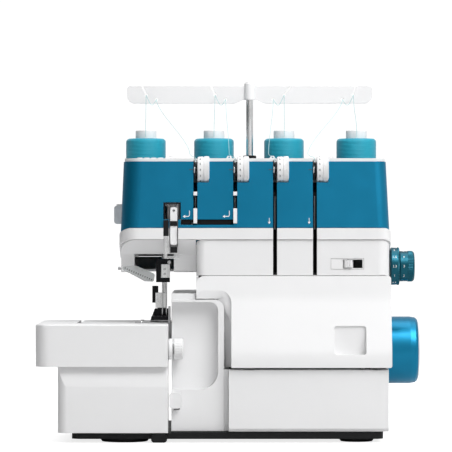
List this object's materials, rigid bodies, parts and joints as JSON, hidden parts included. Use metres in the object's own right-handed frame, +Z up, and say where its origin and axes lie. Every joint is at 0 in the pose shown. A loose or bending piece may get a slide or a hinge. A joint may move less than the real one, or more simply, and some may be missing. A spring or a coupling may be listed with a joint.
{
  "type": "serger overlock machine",
  "caption": "Overlock sewing machine: white casing with a teal tension cover, front tension dials, thread stand with spools, handwheel, opening looper cover and slide-on extension table",
  "frame": {"origin": "middle of the footprint at the level the feet stand on", "axes": "+Z up, +X toward the handwheel, +Y toward the back"},
  "size_m": [0.3914, 0.3, 0.373],
  "materials": {
    "white_shell": "smooth satin white casing",
    "teal_shell": "metallic teal lacquer",
    "dial_teal": "dark teal with printed scale",
    "black_plastic": "black moulded plastic",
    "black_rubber": "black rubber",
    "cast_frame": "bare die casting",
    "polished_steel": "polished steel",
    "ground_steel": "ground steel",
    "black_steel": "blackened steel",
    "clear_plastic": "clear guard",
    "grey_plastic": "light grey plastic",
    "thread": "wound sewing thread",
    "loose_thread": "fine pale thread"
  },
  "bodies": {
    "body": {"air_pump": "black_plastic", "base_plate": "black_plastic", "drive_belt": "black_rubber", "free_arm": "white_shell", "head_casing": "white_shell", "head_frame": "polished_steel", "left_front_panel": "white_shell", "lower_casing": "white_shell", "lower_front_panel": "white_shell", "main_frame": "cast_frame", "mains_inlet": "black_plastic", "middle_casing": "white_shell", "motor": "cast_frame", "needle_guard": "clear_plastic", "needle_plate": "ground_steel", "needle_threads": "loose_thread", "rubber_feet": "black_rubber", "slot_channels": "black_plastic", "spool_cores": "white_shell", "spool_threads": "loose_thread", "spool_tray": "white_shell", "stand_outer_tube": "black_plastic", "take_up_window": "black_plastic", "tension_cover": "teal_shell", "tension_discs": "black_steel", "tension_frame": "cast_frame", "thread_cutter": "white_shell", "thread_windings": "thread", "top_deck": "white_shell", "trim_band": "white_shell"},
    "thread_stand": {"stand_tube": "polished_steel", "thread_guide": "white_shell"},
    "dial_1": {"tension_dial_1": "white_shell"},
    "dial_2": {"tension_dial_2": "white_shell"},
    "dial_3": {"tension_dial_3": "white_shell"},
    "dial_4": {"tension_dial_4": "white_shell"},
    "differential_dial": {"differential_feed_dial": "dial_teal"},
    "stitch_dial": {"stitch_length_dial": "dial_teal"},
    "drive_shaft": {"main_shaft": "polished_steel", "handwheel": "teal_shell", "handwheel_cap": "white_shell"},
    "motor_rotor": {"motor_pulley": "ground_steel"},
    "needle_drive": {"needle_bar": "polished_steel", "needle_clamp": "black_steel", "needles": "polished_steel"},
    "take_up": {"take_up_lever": "white_shell"},
    "knife_drive": {"upper_knife": "ground_steel"},
    "looper_low": {"lower_looper": "polished_steel"},
    "looper_high": {"upper_looper": "polished_steel"},
    "feed": {"feed_dogs": "ground_steel"},
    "presser_lift": {"presser_lever": "ground_steel"},
    "presser": {"presser_bar": "polished_steel", "presser_foot": "black_steel"},
    "cover_slide": {"hinge_rod": "polished_steel"},
    "cover": {"front_cover": "white_shell"},
    "table": {"extension_table": "white_shell"},
    "width_knob": {"cutting_width_knob": "white_shell"},
    "thread_lever": {"threading_lever": "white_shell"},
    "slider": {"slider_switch": "white_shell"},
    "rocker": {"power_switch": "black_plastic"}
  },
  "joints": [
    {"name": "thread_stand_slide", "type": "slide", "parent": "body", "child": "thread_stand", "axis": [0, 0, 1], "range_m": [-0.025, 0.06], "deforming": ["spool_threads", "needle_threads"]},
    {"name": "dial_1_turn", "type": "hinge", "parent": "body", "child": "dial_1", "pos_m": [-0.0278, -0.11016, 0.274], "axis": [1, 0, 0], "range_deg": [-140, 140]},
    {"name": "dial_2_turn", "type": "hinge", "parent": "body", "child": "dial_2", "pos_m": [0.0124, -0.11016, 0.274], "axis": [1, 0, 0], "range_deg": [-140, 140]},
    {"name": "dial_3_turn", "type": "hinge", "parent": "body", "child": "dial_3", "pos_m": [0.0526, -0.11016, 0.274], "axis": [1, 0, 0], "range_deg": [-140, 140]},
    {"name": "dial_4_turn", "type": "hinge", "parent": "body", "child": "dial_4", "pos_m": [0.0928, -0.11016, 0.274], "axis": [1, 0, 0], "range_deg": [-140, 140]},
    {"name": "differential_turn", "type": "hinge", "parent": "body", "child": "differential_dial", "pos_m": [0.166, -0.09, 0.1765], "axis": [1, 0, 0], "range_deg": [-75, 75]},
    {"name": "stitch_length_turn", "type": "hinge", "parent": "body", "child": "stitch_dial", "pos_m": [0.18, -0.09, 0.1765], "axis": [1, 0, 0], "range_deg": [-150, 150]},
    {"name": "handwheel_turn", "type": "hinge", "parent": "body", "child": "drive_shaft", "pos_m": [0.1, -0.045, 0.0894], "axis": [1, 0, 0], "continuous": true},
    {"name": "motor_turn", "type": "hinge", "parent": "body", "child": "motor_rotor", "pos_m": [0.12, 0.014, 0.046], "axis": [1, 0, 0], "continuous": true},
    {"name": "needle_bar_slide", "type": "slide", "parent": "body", "child": "needle_drive", "axis": [0, 0, -1], "range_m": [0, 0.027]},
    {"name": "take_up_slide", "type": "slide", "parent": "body", "child": "take_up", "axis": [0, 0, -1], "range_m": [0, 0.006]},
    {"name": "knife_slide", "type": "slide", "parent": "body", "child": "knife_drive", "axis": [0, 0, -1], "range_m": [0, 0.005]},
    {"name": "lower_looper_swing", "type": "hinge", "parent": "body", "child": "looper_low", "pos_m": [-0.022, -0.08, 0.072], "axis": [0, 1, 0], "range_deg": [0, 14]},
    {"name": "upper_looper_swing", "type": "hinge", "parent": "body", "child": "looper_high", "pos_m": [-0.008, -0.09, 0.084], "axis": [0, 1, 0], "range_deg": [-14, 0]},
    {"name": "feed_slide", "type": "slide", "parent": "body", "child": "feed", "axis": [0, 1, 0], "range_m": [0, 0.004]},
    {"name": "presser_lever_turn", "type": "hinge", "parent": "body", "child": "presser_lift", "pos_m": [-0.102, 0.02, 0.19], "axis": [-1, 0, 0], "range_deg": [0, 10]},
    {"name": "presser_bar_slide", "type": "slide", "parent": "body", "child": "presser", "axis": [0, 0, 1], "range_m": [0, 0.005]},
    {"name": "cover_slide_right", "type": "slide", "parent": "body", "child": "cover_slide", "axis": [1, 0, 0], "range_m": [0, 0.006]},
    {"name": "front_cover_hinge", "type": "hinge", "parent": "cover_slide", "child": "cover", "pos_m": [0.08, -0.1473, 0.0766], "axis": [1, 0, 0], "range_deg": [0, 90]},
    {"name": "table_slide", "type": "slide", "parent": "body", "child": "table", "axis": [-1, 0, 0], "range_m": [0, 0.11]},
    {"name": "cutting_width_turn", "type": "hinge", "parent": "body", "child": "width_knob", "pos_m": [-0.055, -0.1385, 0.094], "axis": [1, 0, 0], "range_deg": [-170, 170]},
    {"name": "threading_lever_slide", "type": "slide", "parent": "body", "child": "thread_lever", "axis": [0, 0, -1], "range_m": [0, 0.008]},
    {"name": "slider_switch_slide", "type": "slide", "parent": "body", "child": "slider", "axis": [1, 0, 0], "range_m": [0, 0.009]},
    {"name": "power_rocker", "type": "hinge", "parent": "body", "child": "rocker", "pos_m": [0.1555, 0.023, 0.0555], "axis": [0, 0, 1], "range_deg": [-8, 8]}
  ],
  "couplings": [
    {"joint": "motor_turn", "follows": "handwheel_turn", "ratio": 3},
    {"joint": "take_up_slide", "follows": "needle_bar_slide", "ratio": 0.2222},
    {"joint": "knife_slide", "follows": "needle_bar_slide", "ratio": 0.185},
    {"joint": "lower_looper_swing", "follows": "needle_bar_slide", "rad_per_m": 9},
    {"joint": "upper_looper_swing", "follows": "needle_bar_slide", "rad_per_m": -9},
    {"joint": "feed_slide", "follows": "needle_bar_slide", "ratio": 0.148},
    {"joint": "presser_bar_slide", "follows": "presser_lever_turn", "m_per_rad": 0.0286}
  ]
}
